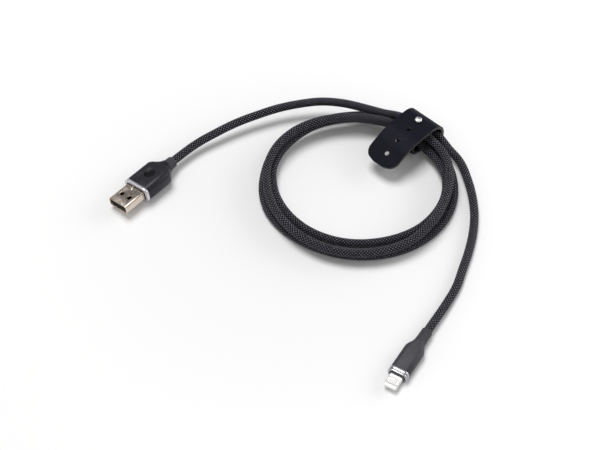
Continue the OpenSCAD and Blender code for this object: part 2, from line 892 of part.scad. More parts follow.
module strap_tongue() {
    color([0.14, 0.14, 0.16]) at_strap() difference() {
        intersection() {
            across(strap_w + 2 * tip_side)
                polygon(concat(tongue_side(half_t), reversed(tongue_side(-half_t))));
            linear_extrude(2 * tongue_z) tongue_outline();
        }
        cylinder(h = 2 * tongue_z, r = stud_d / 2 + button_clear, $fn = round_fn);
        for (k = [0:2]) {
            spot = tongue_spot(first_hole + k * hole_pitch);
            translate([spot[0], 0, spot[1]]) rotate([0, -spot[2], 0])
                cylinder(h = 3 * strap_t, r = hole_d / 2, center = true, $fn = round_fn);
        }
    }
}

module stud_head() {
    head_r = stud_d / 2;
    dome = 0.8;
    neck_z = foot_z + stud_base_t;
    color("silver") at_strap() difference() {
        union() {
            translate([0, 0, neck_z])
                cylinder(h = head_seat_z - neck_z + 0.3, r = stud_neck_r, $fn = round_fn);
            translate([0, 0, head_seat_z]) rotate_extrude($fn = round_fn)
                polygon(concat(
                    [[0, 0], [head_r - 0.3, 0], [head_r, 0.3]],
                    [for (t = [0:10:90]) [head_r - dome + dome * cos(t), 0.5 + 0.9 * sin(t)]],
                    [[0, 1.6]]
                ));
        }
        translate([0, 0, neck_z - 1])
            cylinder(h = base_pin_len + 1 + fit, r = base_pin_r + fit, $fn = round_fn);
    }
}

module stud_base() {
    color("silver") at_strap() {
        translate([0, 0, foot_z])
            cylinder(h = stud_base_t, r = stud_base_r, $fn = round_fn);
        translate([0, 0, foot_z])
            cylinder(h = stud_base_t + base_pin_len, r = base_pin_r, $fn = round_fn);
    }
}

usb_shell();
usb_contact_block();
for (i = [1:4]) {
    usb_contact(i);
    usb_wire(i);
    phone_wire(i);
}
usb_inner_mould();
usb_ring();
usb_housing();
usb_strain_relief();
phone_tab();
phone_tab_insulator();
for (i = [1:8]) {
    phone_contact(i, 1);
    phone_contact(i, -1);
}
phone_tab_base();
phone_board();
phone_chip();
phone_can();
phone_inner_mould();
phone_ring();
phone_housing();
phone_strain_relief();
usb_tail();
coil();
phone_tail();
strap_band();
strap_tongue();
stud_head();
stud_base();
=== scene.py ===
"""Dresses the solids of a braided charging cable: its cord, two plugs and a buttoned strap."""

from math import cos, hypot, pi, radians, sin, sqrt

import bpy
from mathutils import Matrix, Vector


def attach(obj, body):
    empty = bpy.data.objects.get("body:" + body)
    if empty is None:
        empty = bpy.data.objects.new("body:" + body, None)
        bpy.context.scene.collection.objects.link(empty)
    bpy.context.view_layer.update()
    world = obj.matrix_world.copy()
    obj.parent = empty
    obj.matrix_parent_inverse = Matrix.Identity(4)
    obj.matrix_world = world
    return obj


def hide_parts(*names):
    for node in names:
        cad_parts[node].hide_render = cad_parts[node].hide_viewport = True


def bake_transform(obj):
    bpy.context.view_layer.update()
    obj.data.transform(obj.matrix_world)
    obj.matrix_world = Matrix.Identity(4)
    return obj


bl_info = {
    "name": "Braided Charging Cable",
    "version": (1, 0, 0),
    "blender": (4, 5, 0),
    "location": "3D View > Sidebar > Cable",
    "description": "Dresses the cable's solids with a braided cord, moulded plugs and a leather strap",
    "category": "Object",
}

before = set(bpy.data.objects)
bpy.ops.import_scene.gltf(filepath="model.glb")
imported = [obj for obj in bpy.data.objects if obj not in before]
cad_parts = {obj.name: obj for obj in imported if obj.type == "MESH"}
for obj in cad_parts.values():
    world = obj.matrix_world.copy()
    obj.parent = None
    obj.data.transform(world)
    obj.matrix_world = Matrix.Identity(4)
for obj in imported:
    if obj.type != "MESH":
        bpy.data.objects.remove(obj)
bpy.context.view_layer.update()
MM = 0.001
# A solid's copy joins points this near, in metres, and faces this even, in degrees
JOIN_NEAR, JOIN_EVEN = 0.000002, 0.6
# How metal's streaks are stretched: along a plug and round a ring
ALONG, AROUND = (0.04, 1, 1), (1, 0.05, 0.05)

# Where the plugs, the coil and the strap lie, in millimetres and degrees
USB_AT, USB_YAW, USB_ROLL = Vector((-78, 22.8, 5.1225)), 48, -10.5
PHONE_AT, PHONE_YAW = Vector((55.1, -74.8, 3)), 58.8
COIL_AT, COIL_A, COIL_B, COIL_YAW = (40.5, 37), 45, 42, 49.2
STRAP_YAW, STRAP_OUT = 47.2, 0.4
# Where the oval is let out or pressed in: the middle's angle, how far to each side, and how much
SWELL, PRESS = (136, 58, 2.4), (214, 50, -1.1)

# The round place on the USB body and the punch mark on the shell: along the plug, across and up
ROUND_PLACE, ROUND_R, ROUND_EDGE = (22.8, 0, 3.85), 3, 0.25
PUNCH_MARK, PUNCH_R, PUNCH_RISE = (10.4, 0.5, 2.25), 1.1, 0.98

# Along each plug's axis: the cord's end inside the body, the neck's end, and how far the neck grips
USB_CORD_X, USB_NECK_END = 27.3, 38.3
PHONE_CORD_X, PHONE_NECK_END = 15.7, 29.1
NECK_GRIP = 4

USB_ROUTE = [
    (-41, 62.5, 5.5), (-31.5, 69, 6.3), (-21.5, 75, 7), (-11, 80, 7.4), (0, 84.2, 8),
    (11, 86.8, 8.5), (22, 88, 8.9), (33, 86.5, 9.3), (43, 83.3, 9.5), (53, 79.7, 9.5),
]
PHONE_ROUTE = [
    (80.8, 67.2, 5.7), (85.6, 60.4, 4.4), (91, 52.5, 3.4), (94.2, 42, 2.7),
    (96, 31, 2.2), (96.3, 20, 2.1), (95, 9, 2.1), (92.4, -2, 2.1),
    (88.8, -13, 2.1), (85, -24, 2.2), (79.6, -34.3, 2.5),
]
# How the turns lie: angle wound from the strap, step outward and step up, in cord spacings
LAY = [
    (0, 0.17, 1.6), (15, 0.02, 1.5), (30, 0.08, 1.52), (49, -0.13, 1.62),
    (69, -0.25, 1.6), (90, 0, 1.4), (109, 0.36, 1.2), (139, 0.52, 1.01),
    (185, 0.54, 1.05), (229, 0.19, 1.2), (244, 0.05, 1.6), (262, -0.26, 1.72),
    (290, -0.56, 1.7), (346, -0.64, 1.6), (360, -0.84, 1.14), (374, -0.7, 0.52),
    (409, -0.46, 0.62), (450, -1, 0.2), (475, -1.4, 0.05), (499, -1.5, 0.02),
    (522, -1.38, 0.02), (545, -1.1, 0.02), (567, -0.82, 0.06), (589, -0.5, 0.2),
    (604, -0.37, 0.67), (622, -0.44, 0.5), (650, -0.24, 0.71), (674, 0.03, 0.76),
    (706, -0.09, 0.72), (720, 0.06, 0.6), (734, 0.4, 0.37), (769, 0.38, 0.04),
    (810, 0.33, 0.01), (859, 0.13, 0.01), (880, 0.15, 0.01), (905, 0.46, 0.01),
    (929, 0.76, 0.01), (949, 0.64, 0.01), (964, 0.42, 0.01), (982, 0.51, 0.01),
    (1010, 0.73, 0.03), (1030, 0.9, 0.1), (1045, 1.12, 0.2), (1066, 1.08, 0.36),
    (1080, 1.12, 0.62),
]
SPACING = 4.65
# The wound stations, in degrees: how far apart, and how near an end its direction is read
TURNS, STATION_STEP, END_STEP = 3, 15, 6
# The steps of the cord's line, in millimetres: first fine, then even
FINE_STEP, LINE_STEP = 0.25, 0.9

# The strap's loop, in millimetres: outward across the cord, then up
LOOP_C, LOOP_R = (-0.3, 5.3), 9.4
LOW_OUT_C, LOW_OUT_R, OUT_ANGLE = (6.524, 3.0), 2.2, 18.63
IN_R, LOW_IN_C, HIGH_IN_C, LEAN = 3.5, (-5.7, 4.3), (-4.1, 9.3), 17.74
END_R, END_ANGLE = 7.5, 62
BEND_START, BEND_R, DROOP = 9, 26, 24.5
TONGUE_LEN, FIRST_HOLE, HOLE_PITCH, FREE_HOLES = 31.2, 7.2, 8.5, 3
SEAM_ANGLE = 20

# The leather strips before they are bent: corners, spare length at the seam, mesh steps and rows
BAND_CORNER, TIP_CORNER, TIP_SIDE, SPARE = 2.6, 6.0, 0.7, 2.0
LEATHER_STEP, BAND_ROWS, TONGUE_ROWS = 0.45, 22, 42
WORN_EDGE, STUD_HOLE_R = 0.22, 1.2
# How a punched hole flares to each side: steps, in leather thicknesses, and their growth
FLARE = ((0.25, 1.12), (0.3, 1.1))
# How far ahead a bend is read, and the bend's radius at which the painted highlight on a fold is full
LOOK_AHEAD, FULL_HIGHLIGHT_R = 0.4, 9.0

# The stage, in metres: the floor's side, and the middle and edges of a painted shade on the floor round the
# object, which fades to white further out
FLOOR_SIDE, FLOOR_SHADE_AT, FLOOR_SHADE_FROM, FLOOR_SHADE_TO = 12, (0.03, 0.02, 0), 0.05, 0.15
# The dark card that metal shows: its direction, and the nearness where it begins and is full
CARD_TOWARD, CARD_FROM, CARD_FULL = (0, 0.62, 0.785), 0.6, 0.97
HIGH_LAMP_AT, HIGH_LAMP_FROM = (0.5, 0.4, 1.2), (-0.18, 0.3, 1)
SIDE_LAMP_AT, SIDE_LAMP_TO, SIDE_LAMP_SIZE = (0.75, 0.25, 0.32), (0.03, 0.03, 0), (0.7, 0.35)
CAMERA_TO, CAMERA_RISE, CAMERA_AWAY, CAMERA_LENS = (0.011, 0.015, 0), 52, 0.85, 104.4


# ---- selecting and finishing ----


def clear_selection():
    if bpy.context.object and bpy.context.object.mode != "OBJECT":
        leave_edit()
    bpy.ops.object.select_all(action="DESELECT")


def pick(obj):
    clear_selection()
    obj.select_set(True)
    bpy.context.view_layer.objects.active = obj


def edit_whole(obj):
    pick(obj)
    bpy.ops.object.mode_set(mode="EDIT")
    bpy.ops.mesh.select_all(action="SELECT")


def leave_edit():
    bpy.ops.object.mode_set(mode="OBJECT")


def apply_modifiers(obj):
    pick(obj)
    for modifier in list(obj.modifiers):
        bpy.ops.object.modifier_apply(modifier=modifier.name)


def add_bevel(obj, width, segments, angle):
    modifier = obj.modifiers.new("Soft edges", "BEVEL")
    modifier.width = width
    modifier.segments = segments
    modifier.limit_method = "ANGLE"
    modifier.angle_limit = radians(angle)


def cut(obj, cutter):
    modifier = obj.modifiers.new("Cut", "BOOLEAN")
    modifier.operation = "DIFFERENCE"
    modifier.object = cutter
    modifier.solver = "EXACT"
    apply_modifiers(obj)
    bpy.data.objects.remove(cutter)


def smooth_shade(obj, angle):
    pick(obj)
    bpy.ops.object.shade_smooth_by_angle(angle=radians(angle))


def settle(obj, material, slot, *nodes, smooth=35):
    """Finishes a piece on the cable's body and hides the solids it stands in for."""
    obj.data.materials.append(material)
    smooth_shade(obj, smooth)
    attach(obj, "cable")
    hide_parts(*nodes)


def merged_copy(node, name):
    """A copy of a solid with its loose triangles joined and its flat faces made whole."""
    obj = bpy.data.objects.new(name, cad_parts[node].data.copy())
    bpy.context.collection.objects.link(obj)
    obj.data.materials.clear()
    edit_whole(obj)
    bpy.ops.mesh.remove_doubles(threshold=JOIN_NEAR)
    bpy.ops.mesh.dissolve_limited(angle_limit=radians(JOIN_EVEN))
    leave_edit()
    return obj


def refined_piece(node, name, material, slot, width, segments=2, angle=40, smooth=35, cutter=None):
    """A solid's own shape with soft edges that catch the light."""
    obj = merged_copy(node, name)
    if cutter:
        cut(obj, cutter)
    add_bevel(obj, width * MM, segments, angle)
    apply_modifiers(obj)
    settle(obj, material, slot, node, smooth=smooth)


def dress(material, *nodes):
    for name in nodes:
        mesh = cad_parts[name].data
        mesh.materials.clear()
        mesh.materials.append(material)


def place_matrix(at, yaw, roll=0):
    return (
        Matrix.Translation(at * MM)
        @ Matrix.Rotation(radians(yaw), 4, "Z")
        @ Matrix.Rotation(radians(roll), 4, "X")
    )


# ---- shader building ----


def node_of(tree, kind, **settings):
    node = tree.nodes.new(kind)
    for key, value in settings.items():
        setattr(node, key, value)
    return node


def feed(tree, socket, value):
    if isinstance(value, bpy.types.NodeSocket):
        tree.links.new(value, socket)
    else:
        socket.default_value = value


def maths(tree, operation, a, b=None, c=None):
    node = node_of(tree, "ShaderNodeMath", operation=operation)
    for socket, value in zip(node.inputs, (a, b, c)):
        if value is not None:
            feed(tree, socket, value)
    return node.outputs[0]


def vector_maths(tree, operation, *values):
    node = node_of(tree, "ShaderNodeVectorMath", operation=operation)
    for socket, value in zip(node.inputs, values):
        feed(tree, socket, value)
    return node.outputs["Value" if operation in ("DISTANCE", "DOT_PRODUCT") else "Vector"]


def spread_range(tree, value, low, high, to_low=0.0, to_high=1.0):
    node = node_of(tree, "ShaderNodeMapRange", clamp=True)
    for socket, given in zip(node.inputs, (value, low, high, to_low, to_high)):
        feed(tree, socket, given)
    return node.outputs[0]


def mix_colours(tree, share, a, b):
    node = node_of(tree, "ShaderNodeMix", data_type="RGBA")
    feed(tree, node.inputs["Factor"], share)
    for socket, value in zip(node.inputs[6:8], (a, b)):
        feed(tree, socket, value if isinstance(value, bpy.types.NodeSocket) else (*value[:3], 1))
    return node.outputs[2]


def shade(colour, amount):
    return [c * amount for c in colour]


def tint(tree, tone, share, amount, colour):
    """The tone, moved towards a colour by a part of the share."""
    return mix_colours(tree, maths(tree, "MULTIPLY", share, amount), tone, colour)


def new_group(name, inputs, outputs):
    """A shader group that reads a place and the values named."""
    group = bpy.data.node_groups.new(name, "ShaderNodeTree")
    group.interface.new_socket(name="Vector", in_out="INPUT", socket_type="NodeSocketVector")
    for label, default in inputs.items():
        kind = "NodeSocketFloat" if isinstance(default, float) else "NodeSocketVector"
        group.interface.new_socket(name=label, in_out="INPUT", socket_type=kind).default_value = default
    for label in outputs:
        group.interface.new_socket(name=label, in_out="OUTPUT", socket_type="NodeSocketFloat")
    return group, group.nodes.new("NodeGroupInput").outputs, group.nodes.new("NodeGroupOutput").inputs


def noise_field(tree, vector, scale, detail, roughness=0.55):
    node = node_of(tree, "ShaderNodeTexNoise", noise_dimensions="3D")
    values = {"Vector": vector, "Scale": scale, "Detail": detail, "Roughness": roughness}
    for label, value in values.items():
        feed(tree, node.inputs[label], value)
    return node.outputs[0]


def scaled_noise(group, given, factor, detail, roughness=0.55):
    """Noise at a multiple of the group's own scale."""
    scale = maths(group, "MULTIPLY", given["Scale"], factor)
    return noise_field(group, given["Vector"], scale, detail, roughness)


def braid_weave():
    """Yarns that cross over and under each other round a cord, read from its own UV map."""
    group, given, put = new_group(
        "Braid weave",
        {"Yarns around": 12.0, "Yarns per metre": 900.0, "Fleck size": 0.5},
        ["Height", "Fleck", "Crevice shade", "Fuzz"],
    )

    def do(operation, *values):
        return maths(group, operation, *values)

    parts = node_of(group, "ShaderNodeSeparateXYZ")
    feed(group, parts.inputs[0], given["Vector"])
    around = do("MULTIPLY", parts.outputs[0], given["Yarns around"])
    along = do("MULTIPLY", parts.outputs[1], given["Yarns per metre"])
    lead = do("ADD", around, along)
    trail = do("SUBTRACT", around, along)
    lead_in, trail_in = do("FRACT", lead), do("FRACT", trail)
    lead_no, trail_no = do("FLOOR", lead), do("FLOOR", trail)
    over = do("FLOORED_MODULO", do("ADD", lead_no, trail_no), 2.0)
    bow_lead = do("SINE", do("MULTIPLY", lead_in, pi))
    bow_trail = do("SINE", do("MULTIPLY", trail_in, pi))

    def yarn(across, length):
        crown = do("POWER", across, 0.6)
        dip = do("MULTIPLY_ADD", do("POWER", length, 0.8), 0.6, 0.4)
        return do("MULTIPLY", crown, dip)

    lead_height = yarn(bow_lead, bow_trail)
    trail_height = yarn(bow_trail, bow_lead)
    strands_lead = do("SINE", do("MULTIPLY", lead_in, 7 * pi))
    strands_trail = do("SINE", do("MULTIPLY", trail_in, 7 * pi))

    def choose(low, high):
        node = node_of(group, "ShaderNodeMix", data_type="FLOAT")
        for socket, value in zip((node.inputs[0], node.inputs[2], node.inputs[3]), (over, low, high)):
            feed(group, socket, value)
        return node.outputs[0]

    height = choose(lead_height, trail_height)
    strands = choose(strands_lead, strands_trail)
    feed(group, put["Height"], do("MULTIPLY_ADD", strands, 0.07, height))
    spot = do("MULTIPLY", bow_lead, bow_trail)
    rim = do("SUBTRACT", 1.0, given["Fleck size"])
    fleck = spread_range(group, spot, do("SUBTRACT", rim, 0.15), do("ADD", rim, 0.15))
    bright = do("LESS_THAN", do("FLOORED_MODULO", lead_no, 2.0), 0.5)
    feed(group, put["Fleck"], do("MULTIPLY", do("MULTIPLY", fleck, bright), over))
    # Crevice shade: a painted shade for the low places between the yarns, where the cord's colour is
    # darkened
    feed(group, put["Crevice shade"], spread_range(group, height, 0.15, 0.75, 1.0, 0.0))
    stretched = vector_maths(group, "MULTIPLY", given["Vector"], (14, 1100, 0))
    feed(group, put["Fuzz"], noise_field(group, stretched, 3.0, 3.0, 0.5))
    return group


def moulded_grain():
    """The fine spark texture and soft flow patches of a moulded surface."""
    outputs = ["Height", "Speckle", "Patches", "Dust"]
    group, given, put = new_group("Moulded grain", {"Scale": 2600.0}, outputs)
    fine = noise_field(group, given["Vector"], given["Scale"], 2.0)
    feed(group, put["Height"], fine)
    feed(group, put["Speckle"], spread_range(group, fine, 0.35, 0.65))
    wide = scaled_noise(group, given, 0.045, 3.0)
    feed(group, put["Patches"], spread_range(group, wide, 0.3, 0.7))
    dots = scaled_noise(group, given, 0.6, 4.0, 0.7)
    feed(group, put["Dust"], spread_range(group, dots, 0.66, 0.74))
    return group


def leather_grain():
    """Pebbles, creases and wide tone changes of smooth leather."""
    group, given, put = new_group("Leather grain", {"Scale": 1500.0}, ["Height", "Pores", "Patches"])
    warp = scaled_noise(group, given, 0.4, 2.0)
    warped = vector_maths(group, "MULTIPLY_ADD", warp, [0.0006] * 3, given["Vector"])
    cells = node_of(group, "ShaderNodeTexVoronoi", feature="F1")
    feed(group, cells.inputs["Vector"], warped)
    feed(group, cells.inputs["Scale"], given["Scale"])
    pebble = maths(group, "SUBTRACT", 1.0, cells.outputs["Distance"])
    fine = scaled_noise(group, given, 2.0, 3.0)
    feed(group, put["Height"], maths(group, "MULTIPLY_ADD", fine, 0.35, pebble))
    feed(group, put["Pores"], spread_range(group, cells.outputs["Distance"], 0.45, 0.8))
    wide = scaled_noise(group, given, 0.12, 4.0)
    feed(group, put["Patches"], spread_range(group, wide, 0.3, 0.7))
    return group


def metal_wear():
    """Drawn streaks, small smears and fine scratches of plated metal."""
    inputs = {"Scale": 900.0, "Stretch": ALONG}
    group, given, put = new_group("Metal wear", inputs, ["Streaks", "Smears", "Scratches"])
    stretched = vector_maths(group, "MULTIPLY", given["Vector"], given["Stretch"])
    streaks = noise_field(group, stretched, maths(group, "MULTIPLY", given["Scale"], 5.0), 3.0)
    feed(group, put["Streaks"], spread_range(group, streaks, 0.3, 0.7))
    smears = scaled_noise(group, given, 0.35, 4.0)
    feed(group, put["Smears"], spread_range(group, smears, 0.4, 0.7))
    lines = node_of(group, "ShaderNodeTexVoronoi", feature="DISTANCE_TO_EDGE")
    feed(group, lines.inputs["Vector"], stretched)
    feed(group, lines.inputs["Scale"], maths(group, "MULTIPLY", given["Scale"], 1.3))
    feed(group, put["Scratches"], spread_range(group, lines.outputs["Distance"], 0.0, 0.03, 1.0, 0.0))
    return group


GROUP_MAKERS = {
    "Braid weave": braid_weave,
    "Moulded grain": moulded_grain,
    "Leather grain": leather_grain,
    "Metal wear": metal_wear,
}


def use_group(tree, name, vector, **values):
    node = node_of(tree, "ShaderNodeGroup")
    node.node_tree = bpy.data.node_groups.get(name) or GROUP_MAKERS[name]()
    feed(tree, node.inputs["Vector"], vector)
    for label, value in values.items():
        feed(tree, node.inputs[label.replace("_", " ")], value)
    return node.outputs


def start_material(name, **sockets):
    material = bpy.data.materials.new(name)
    material.use_nodes = True
    tree = material.node_tree
    shader = tree.nodes["Principled BSDF"]
    for label, value in sockets.items():
        shader.inputs[label.replace("_", " ")].default_value = value
    return material, tree, shader


def object_vector(tree, yaw=0):
    """Object coordinates, turned back so that their first axis runs along a plug."""
    place = node_of(tree, "ShaderNodeTexCoord").outputs["Object"]
    if not yaw:
        return place
    mapping = node_of(tree, "ShaderNodeMapping", vector_type="POINT")
    feed(tree, mapping.inputs["Vector"], place)
    mapping.inputs["Rotation"].default_value = (0, 0, -radians(yaw))
    return mapping.outputs[0]


def bump(tree, shader, height, strength, distance):
    node = node_of(tree, "ShaderNodeBump")
    node.inputs["Strength"].default_value = strength
    node.inputs["Distance"].default_value = distance * MM
    feed(tree, node.inputs["Height"], height)
    feed(tree, shader.inputs["Normal"], node.outputs[0])


def moulded_material(name, colour, roughness, dust=0.03, shine=0.35):
    """Moulded plastic or rubber with spark texture, flow patches and a little dust."""
    material, tree, shader = start_material(name, Specular_IOR_Level=shine)
    grain = use_group(tree, "Moulded grain", object_vector(tree), Scale=2600.0)
    lighter = [min(1.0, c * 1.18 + 0.004) for c in colour]
    tone = mix_colours(tree, grain["Patches"], shade(colour, 0.86), lighter)
    tone = tint(tree, tone, grain["Dust"], dust, (0.5, 0.5, 0.48))
    feed(tree, shader.inputs["Base Color"], tone)
    rough = spread_range(tree, grain["Speckle"], 0, 1, roughness - 0.06, roughness + 0.08)
    feed(tree, shader.inputs["Roughness"], rough)
    bump(tree, shader, grain["Height"], 0.35, 0.02)
    return material


def usb_body_material(colour):
    """The USB body's plastic, smoother and darker in its bare round place."""
    material = moulded_material("usb_body_plastic", colour, 0.4, shine=0.3)
    tree = material.node_tree
    shader = tree.nodes["Principled BSDF"]
    middle = place_matrix(USB_AT, USB_YAW, USB_ROLL) @ (Vector(ROUND_PLACE) * MM)
    away = vector_maths(tree, "DISTANCE", object_vector(tree), middle)
    inside = spread_range(tree, away, (ROUND_R - ROUND_EDGE) * MM, ROUND_R * MM, 1.0, 0.0)
    tone = shader.inputs["Base Color"].links[0].from_socket
    feed(tree, shader.inputs["Base Color"], mix_colours(tree, inside, tone, shade(colour, 0.35)))
    rough = shader.inputs["Roughness"].links[0].from_socket
    lower = maths(tree, "MULTIPLY", inside, -0.15)
    feed(tree, shader.inputs["Roughness"], maths(tree, "ADD", rough, lower))
    return material


def metal_material(name, colour, roughness, yaw=0, stretch=ALONG, smear=0.12, scale=900.0):
    """Plated or drawn metal with streaks, smears and fine scratches."""
    material, tree, shader = start_material(name, Metallic=1.0)
    wear = use_group(tree, "Metal wear", object_vector(tree, yaw), Scale=scale, Stretch=stretch)
    tone = mix_colours(tree, wear["Streaks"], shade(colour, 0.88), colour)
    tone = tint(tree, tone, wear["Scratches"], 0.25, shade(colour, 0.6))
    feed(tree, shader.inputs["Base Color"], tone)
    rough = maths(tree, "MULTIPLY_ADD", wear["Smears"], smear, roughness)
    feed(tree, shader.inputs["Roughness"], maths(tree, "MULTIPLY_ADD", wear["Streaks"], 0.05, rough))
    bump(tree, shader, wear["Streaks"], 0.12, 0.01)
    return material


# ---- settings ----


def length_setting(name, description, default):
    return bpy.props.FloatProperty(
        name=name, description=description, default=default, min=0.0, subtype="DISTANCE", precision=5
    )


def colour_setting(name, description, default):
    return bpy.props.FloatVectorProperty(
        name=name, description=description, default=default, size=3, min=0.0, max=1.0, subtype="COLOR"
    )


def strength_setting(name, description, default, subtype="NONE"):
    return bpy.props.FloatProperty(
        name=name, description=description, default=default, min=0.0, subtype=subtype
    )


class CordSettings(bpy.types.PropertyGroup):
    diameter: length_setting("Diameter", "Diameter of the braided cord", 0.0042)
    yarn_pitch: length_setting("Yarn pitch", "Length of cord that one crossing of the yarns takes", 0.0008)
    yarns_around: bpy.props.IntProperty(
        name="Yarns around", description="Yarns of each lay round the cord", default=16, min=6
    )
    sides: bpy.props.IntProperty(name="Sides", description="Faces round the cord", default=20, min=8)
    fleck: bpy.props.FloatProperty(
        name="Fleck size",
        description="Share of a crossing that shows the light yarn",
        default=0.82,
        min=0.0,
        max=1.0,
        subtype="FACTOR",
    )
    dark: colour_setting("Dark yarn", "Colour of most yarns", (0.003, 0.003, 0.006))
    light: colour_setting("Light yarn", "Colour of the yarns that show as flecks", (0.52, 0.52, 0.62))


class PlugSettings(bpy.types.PropertyGroup):
    usb_body: colour_setting("USB body", "Colour of the USB plug's body", (0.012, 0.012, 0.0175))
    usb_neck: colour_setting("USB neck", "Colour of the USB plug's strain relief", (0.048, 0.048, 0.056))
    phone_body: colour_setting("Phone body", "Colour of the phone plug's body", (0.038, 0.038, 0.048))
    shell: colour_setting("Shell", "Colour of the USB plug's shell", (0.69, 0.6, 0.52))
    ring: colour_setting("Rings", "Colour of the rings", (0.7, 0.7, 0.74))
    tab: colour_setting("Tab", "Colour of the phone plug's tab", (0.86, 0.86, 0.85))
    contact: colour_setting("Contacts", "Colour of the USB contacts", (0.86, 0.66, 0.34))
    pad: colour_setting("Pads", "Colour of the phone plug's contacts", (0.66, 0.65, 0.63))


class StrapSettings(bpy.types.PropertyGroup):
    thickness: length_setting("Thickness", "Thickness of the leather", 0.0016)
    width: length_setting("Width", "Width at the fold", 0.0186)
    tip_width: length_setting("Tip width", "Width at the tongue's tip", 0.0182)
    end_width: length_setting("Buttoned end", "Width of the end under the stud", 0.0104)
    hole: length_setting("Hole", "Diameter of the free holes", 0.0024)
    leather: colour_setting("Leather", "Colour of the smooth side", (0.0045, 0.0045, 0.0115))
    edge: colour_setting("Cut edge", "Colour of the cut edge", (0.05, 0.05, 0.058))
    stud: colour_setting("Stud", "Colour of the stud", (0.93, 0.93, 0.94))


class StageSettings(bpy.types.PropertyGroup):
    floor: colour_setting("Floor", "Colour of the floor", (0.93, 0.93, 0.935))
    sky: strength_setting("Sky", "Strength of the even light", 0.44)
    sun: strength_setting("Soft lamp", "Strength of the high lamp", 1.97)
    sun_size: bpy.props.FloatProperty(
        name="Lamp size",
        description="Width of the high lamp, seen from the table",
        default=radians(32),
        subtype="ANGLE",
    )
    rim: strength_setting("Side lamp", "Power of the side lamp", 2.2, "POWER")


# ---- the cord's line ----


def eased(a, b, leave, arrive, span, s):
    """A smooth way from a to b, at the share s of the span, with the slopes at its ends."""
    return (
        (1 + 2 * s) * (1 - s) ** 2 * a
        + s * (1 - s) ** 2 * span * leave
        + s * s * (3 - 2 * s) * b
        + s * s * (s - 1) * span * arrive
    )


def let_out(shape, angle):
    middle, reach, amount = shape
    away = abs((angle - middle + 180) % 360 - 180)
    return 0 if away > reach else amount * cos(radians(90 * away / reach)) ** 2


def coil_radius(angle):
    t = radians(angle)
    oval = COIL_A * COIL_B / hypot(COIL_B * cos(t), COIL_A * sin(t))
    return oval + let_out(SWELL, angle) + let_out(PRESS, angle)


def lay_at(wound):
    """How far out and how far up the cord lies, in cord spacings, at an angle wound."""
    k = max(i for i in range(len(LAY) - 1) if i == 0 or LAY[i][0] < wound)

    def slope(i, part):
        a, b = LAY[max(i - 1, 0)], LAY[min(i + 1, len(LAY) - 1)]
        return (b[part] - a[part]) / (b[0] - a[0])

    span = LAY[k + 1][0] - LAY[k][0]
    s = (wound - LAY[k][0]) / span
    return [
        eased(LAY[k][part], LAY[k + 1][part], slope(k, part), slope(k + 1, part), span, s)
        for part in (1, 2)
    ]


def coil_point(wound, radius):
    out, up = lay_at(wound)
    angle = COIL_YAW - wound
    r = coil_radius(angle) + out * SPACING
    t = radians(angle)
    return Vector((COIL_AT[0] + r * cos(t), COIL_AT[1] + r * sin(t), radius + up * SPACING))


def along_axis(at, yaw, distance):
    t = radians(yaw)
    return at + distance * Vector((cos(t), sin(t), 0))


def cord_stations(radius):
    """The points the cord passes, from inside the USB plug to inside the phone plug."""
    wound = 360 * TURNS
    coil = [coil_point(angle, radius) for angle in range(0, wound + 1, STATION_STEP)]
    start_dir = (coil_point(END_STEP, radius) - coil[0]).normalized()
    end_dir = (coil[-1] - coil_point(wound - END_STEP, radius)).normalized()
    diameter = 2 * radius
    usb_places = (USB_CORD_X, USB_NECK_END - NECK_GRIP, USB_NECK_END + diameter)
    phone_places = (PHONE_NECK_END + diameter, PHONE_NECK_END - NECK_GRIP, PHONE_CORD_X)
    return [
        *(along_axis(USB_AT, USB_YAW, x) for x in usb_places),
        *(Vector(point) for point in USB_ROUTE),
        coil[0] - 2 * diameter * start_dir,
        *coil,
        coil[-1] + diameter * end_dir,
        *(Vector(point) for point in PHONE_ROUTE),
        *(along_axis(PHONE_AT, PHONE_YAW, x) for x in phone_places),
    ]


def smooth_line(stations, step):
    """An even line of points on a smooth curve through the stations."""
    gaps = [(b - a).length for a, b in zip(stations, stations[1:])]
    rises = [(b - a) / g for a, b, g in zip(stations, stations[1:], gaps)]
    lean = [rises[0]]
    for k in range(1, len(gaps)):
        lean.append((rises[k - 1] * gaps[k] + rises[k] * gaps[k - 1]) / (gaps[k - 1] + gaps[k]))
    lean.append(rises[-1])
    dense = []
    for k, gap in enumerate(gaps):
        parts = max(2, int(gap / FINE_STEP))
        for i in range(parts):
            dense.append(eased(stations[k], stations[k + 1], lean[k], lean[k + 1], gap, i / parts))
    dense.append(stations[-1])
    reach = [0.0]
    for a, b in zip(dense, dense[1:]):
        reach.append(reach[-1] + (b - a).length)
    count = round(reach[-1] / step)
    line, k = [], 0
    for i in range(count + 1):
        want = reach[-1] * i / count
        while k < len(reach) - 2 and reach[k + 1] < want:
            k += 1
        share = (want - reach[k]) / max(reach[k + 1] - reach[k], 1e-9)
        line.append(dense[k].lerp(dense[k + 1], min(1.0, share)))
    return line, reach[-1]


